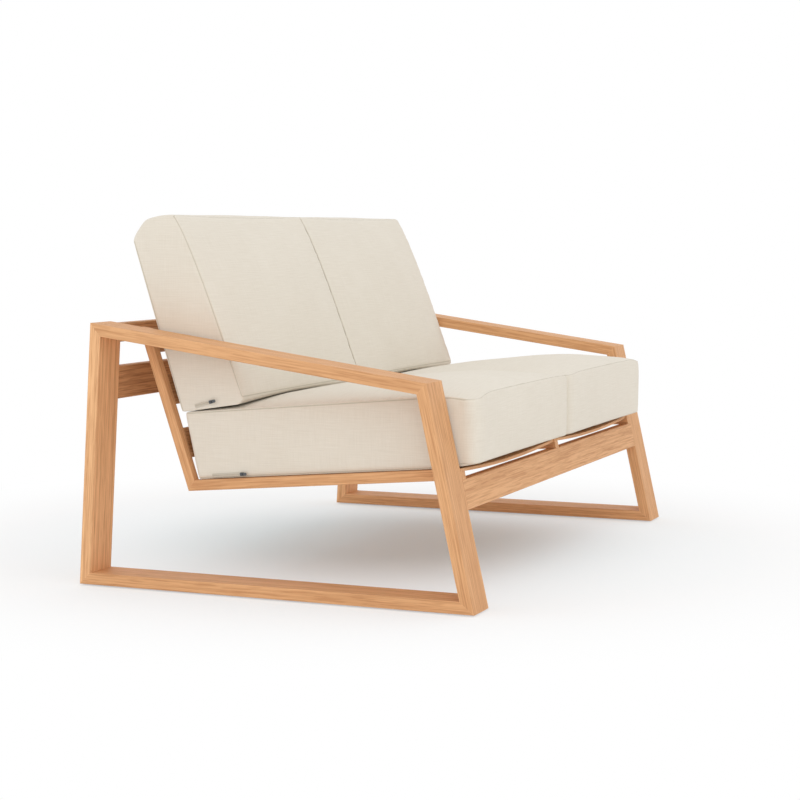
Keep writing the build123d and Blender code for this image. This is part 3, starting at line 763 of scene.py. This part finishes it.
# %% [markdown]
# ## Two of each
# The right cushions are the left ones turned over, as a maker cuts both from one pattern. A
# mirrored mesh is inside out, so its faces are flipped back.


# %% Place the cushions
def place_cushion(side, kind):
    mesh = cushions[kind].copy()
    if side == "right":
        mesh.transform(Matrix.Diagonal((-1, 1, 1, 1)))
        mesh.flip_normals()
    mesh.materials.clear()
    mesh.materials.append(cloth)
    mesh.shade_smooth()
    piece = bpy.data.objects.new(f"{side}_{kind}_cushion_sewn", mesh)
    scene.collection.objects.link(piece)
    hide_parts(f"{side}_{kind}_cover", f"{side}_{kind}_foam")
    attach(piece, f"{side}_{kind}_cushion")
    return piece


sewn = {(side, kind): place_cushion(side, kind) for side in ("left", "right") for kind in profiles}
print("placed", sorted(piece.name for piece in sewn.values()))

# %% [markdown]
# ## Small hard parts
# The zip pulls are dark grey cast metal, the screws are plain steel, and the glides are black
# nylon. They are small, so a little noise in colour and roughness is enough to stop them
# from looking like flat paint.


# %% Hard materials
def hard(name, colour, shade, metallic, roughness, scale):
    material = bpy.data.materials.new(name)
    material.use_nodes = True
    tree = material.node_tree
    tree.nodes.clear()
    place = put(tree, "ShaderNodeTexCoord").outputs["Object"]
    speck = put(tree, "ShaderNodeTexNoise", Vector=place, Scale=scale, Detail=3.0).outputs["Fac"]
    edges = put(tree, "ShaderNodeGroup", {"node_tree": wear}, Radius=0.0006)
    tint = blend_colours(tree, speck, shade, colour)
    tint = blend_colours(tree, maths(tree, "MULTIPLY", edges.outputs["Mask"], 0.4), tint, colour)
    rough = maths(tree, "MULTIPLY_ADD", speck, 0.2, roughness - 0.1)
    bump = put(tree, "ShaderNodeBump", Strength=0.2, Distance=0.0002, Height=speck).outputs[0]
    shader = put(
        tree, "ShaderNodeBsdfPrincipled", Base_Color=tint, Roughness=rough, Normal=bump,
        Metallic=metallic,
    )
    tree.links.new(shader.outputs[0], put(tree, "ShaderNodeOutputMaterial").inputs["Surface"])
    return material


zip_metal = hard("zip_metal", (0.16, 0.17, 0.18, 1), (0.08, 0.085, 0.09, 1), 0.8, 0.4, 900)
dress(zip_metal, [n for n in nodes if n.endswith(("zip_slider", "zip_tab"))])
screw_steel = hard("screw_steel", (0.62, 0.61, 0.6, 1), (0.48, 0.47, 0.46, 1), 1.0, 0.35, 1200)
dress(screw_steel, ["rail_screws"])
glide_nylon = hard("glide_nylon", (0.035, 0.035, 0.036, 1), (0.02, 0.02, 0.02, 1), 0.0, 0.55, 300)
dress(glide_nylon, ["runner_glides"])
print("hard materials on", len([n for n in nodes if "zip" in n]) + 2, "nodes")

# %% [markdown]
# ## Zip teeth
# Each cushion closes with a coil zip just above the seam on its outer side, so that the foam can
# be taken out. Its slider and its pull are CAD pieces. The teeth are pale nylon and hardly show.
# They could be a bump in the cloth, but close by they are real: one small bevelled tooth,
# repeated in two rows that mesh under the slider, on a strip of tape.

# %% Zip teeth
SIDE_FACE = 0.6065
TAPE_THICKNESS, TAPE_WIDTH, TAPE_LIFT = 0.0004, 0.0074, 0.0001
TOOTH_SIZE, TOOTH_BEVEL, TOOTH_LIFT = (0.0010, 0.0011, 0.0018), 0.00018, 0.0007
TOOTH_PITCH, TOOTH_STAGGER = 0.0016, 0.0006
# Where the slider rests, the direction along the seam, and the tape's two ends along it.
zip_runs = {
    "seat": (Vector((0.1042, 0.2420)), Vector((-0.99619, 0.08716)), -0.071, 0.007),
    "back": (Vector((0.1757, 0.3906)), Vector((-0.96650, 0.25665)), -0.040, 0.007),
}


def small_block(shape, size, turn, place, bevel):
    made = bmesh.ops.create_cube(shape, size=1)["verts"]
    bmesh.ops.scale(shape, vec=size, verts=made)
    edges = list({edge for vert in made for edge in vert.link_edges})
    if bevel:
        made = bmesh.ops.bevel(
            shape, geom=edges, offset=bevel, offset_type="OFFSET", affect="EDGES", segments=1,
            profile=0.5, material=-1,
        )["verts"]
    bmesh.ops.rotate(shape, cent=(0, 0, 0), matrix=Matrix.Rotation(turn, 3, "X"), verts=made)
    bmesh.ops.translate(shape, vec=place, verts=made)


def zip_chain(side, kind):
    park, run, start, end = zip_runs[kind]
    sign = -1 if side == "left" else 1
    turn = math.atan2(-run.y, -run.x)
    up = Vector((run.y, -run.x))
    shape = bmesh.new()
    middle = park + run * (start + end) / 2
    tape = (TAPE_THICKNESS, end - start, TAPE_WIDTH)
    small_block(shape, tape, turn, (sign * (SIDE_FACE + TAPE_LIFT), middle.x, middle.y), 0)
    for index in range(int((end - start) / TOOTH_PITCH)):
        aside = TOOTH_STAGGER if index % 2 else -TOOTH_STAGGER
        spot = park + run * (start + TOOTH_PITCH * (index + 0.5)) + up * aside
        place = (sign * (SIDE_FACE + TOOTH_LIFT), spot.x, spot.y)
        small_block(shape, TOOTH_SIZE, turn, place, TOOTH_BEVEL)
    bmesh.ops.recalc_face_normals(shape, faces=shape.faces)
    mesh = bpy.data.meshes.new(f"{side}_{kind}_zip_teeth")
    shape.to_mesh(mesh)
    shape.free()
    mesh.materials.append(zip_nylon)
    piece = bpy.data.objects.new(mesh.name, mesh)
    scene.collection.objects.link(piece)
    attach(piece, f"{side}_{kind}_cushion")
    return piece


zip_nylon = hard("zip_nylon", (0.66, 0.6, 0.5, 1), (0.56, 0.51, 0.42, 1), 0.0, 0.5, 700)
chains = [zip_chain(side, kind) for side in ("left", "right") for kind in zip_runs]
print("zip teeth:", {piece.name: len(piece.data.polygons) for piece in chains}, "faces")

# %% [markdown]
# ## Floor and light
# The picture has a white background and a soft grey shadow that fades out a short way from the
# feet. The floor is a large pale sheet. For camera rays a white glow is mixed into it: a small
# share near the object, painted light that lifts its shadow, growing towards its rim to plain
# white, so no horizon is seen. The wood throws a warm light into the shadow, and a slightly cool
# floor colour, for camera rays alone, keeps it grey: a cool tint painted into the shadow. From
# below the sheet is clear, so that the underside can be looked at. It could be one small sheet
# with a cut edge, but then the edge would show from other sides.

# %% Floor
FLOOR_BOUNCE = (0.94, 0.935, 0.925, 1)
# Under the seat the floor is tinted cool for camera rays: a painted tint that turns the warm
# bounced light in the shadow grey.
SEEN_UNDER_SEAT, SEEN_FURTHER_OUT = (0.81, 0.92, 0.965, 1), (0.93, 0.935, 0.94, 1)
SHADE_MIDDLE = (-0.1, -0.1, 0)
# From and to which distance the white glow grows, and its share at both. The first lifts the
# shadow near the object with painted light, and together they make the far floor plain white.
white_rims = ((0.2, 0.75, 0.13, 0.5), (0.85, 1.45, 0.0, 0.5))
sweep = bmesh.new()
bmesh.ops.create_grid(sweep, x_segments=1, y_segments=1, size=30)
floor_mesh = bpy.data.meshes.new("floor")
sweep.to_mesh(floor_mesh)
sweep.free()
floor = bpy.data.objects.new("floor", floor_mesh)
scene.collection.objects.link(floor)
pale = bpy.data.materials.new("pale_floor")
pale.use_nodes = True
tree = pale.node_tree
tree.nodes.clear()
spot = put(tree, "ShaderNodeTexCoord").outputs["Object"]
middle = put(tree, "ShaderNodeMapping", Vector=spot, Location=SHADE_MIDDLE).outputs[0]
reach = put(tree, "ShaderNodeVectorMath", {"operation": "LENGTH"}, i0=middle).outputs["Value"]
shadow_lifting_share, far_rim = (
    put(
        tree, "ShaderNodeMapRange", {"interpolation_type": "SMOOTHSTEP"}, i0=reach, i1=start,
        i2=end, i3=low, i4=high,
    ).outputs[0]
    for start, end, low, high in white_rims
)
rim = maths(tree, "ADD", shadow_lifting_share, far_rim)
# White glow for camera rays: painted light over the shadow near the object, plain white further
# out.
painted_white_glow = put(tree, "ShaderNodeEmission", Color=(1, 1, 1, 1), Strength=1.0)
seen = put(tree, "ShaderNodeLightPath").outputs["Is Camera Ray"]
apart = put(tree, "ShaderNodeMapRange", i0=reach, i1=0.3, i2=1.0).outputs[0]
cooled = blend_colours(tree, apart, SEEN_UNDER_SEAT, SEEN_FURTHER_OUT)
floor_colour = blend_colours(tree, seen, FLOOR_BOUNCE, cooled)
matt = put(
    tree, "ShaderNodeBsdfPrincipled", Base_Color=floor_colour, Roughness=1.0,
    Specular_IOR_Level=0.0,
)
both = put(
    tree, "ShaderNodeMixShader", i0=maths(tree, "MULTIPLY", seen, rim), i1=matt.outputs[0],
    i2=painted_white_glow.outputs[0],
)
below = put(
    tree, "ShaderNodeMixShader", i0=put(tree, "ShaderNodeNewGeometry").outputs["Backfacing"],
    i1=both.outputs[0], i2=put(tree, "ShaderNodeBsdfTransparent").outputs[0],
)
tree.links.new(below.outputs[0], put(tree, "ShaderNodeOutputMaterial").inputs["Surface"])
floor_mesh.materials.append(pale)
print("floor", tuple(round(x, 1) for x in floor.dimensions))

# %% [markdown]
# The light is an even white sky, which reaches every side of the object alike, as in a studio
# tent. One wide lamp overhead, a little to the left, gives the tops a touch more and draws the
# shadow under the seat. A second one stands far out on the left and lightens that side. Camera,
# glossy and see-through rays meet pure white.

# %% World and lamps
world = bpy.data.worlds.new("studio")
scene.world = world
world.use_nodes = True
tree = world.node_tree
tree.nodes.clear()
ray = put(tree, "ShaderNodeLightPath").outputs
mirrored = maths(tree, "MAXIMUM", ray["Is Glossy Ray"], ray["Is Transmission Ray"])
seen = maths(tree, "MAXIMUM", ray["Is Camera Ray"], mirrored)
sky = put(tree, "ShaderNodeBackground", Color=(1, 1, 1, 1), Strength=0.98)
white = put(tree, "ShaderNodeBackground", Color=(1, 1, 1, 1), Strength=1.0)
both = put(tree, "ShaderNodeMixShader", i0=seen, i1=sky.outputs[0], i2=white.outputs[0])
tree.links.new(both.outputs[0], put(tree, "ShaderNodeOutputWorld").inputs["Surface"])


def soft_lamp(name, place, aim, size, power):
    lamp_data = bpy.data.lights.new(name, "AREA")
    lamp_data.shape = "DISK"
    lamp_data.size = size
    lamp_data.energy = power
    lamp = bpy.data.objects.new(name, lamp_data)
    lamp.location = place
    lamp.rotation_euler = (Vector(aim) - Vector(place)).to_track_quat("-Z", "Y").to_euler()
    scene.collection.objects.link(lamp)


soft_lamp("overhead", (-1.6, -1.2, 3.6), (0, 0, 0.3), 2.4, 4)
soft_lamp("left_fill", (-4.8, -1.8, 1.4), (0, 0, 0.4), 3.0, 18)
scene.view_settings.view_transform = "Standard"
print("light set")
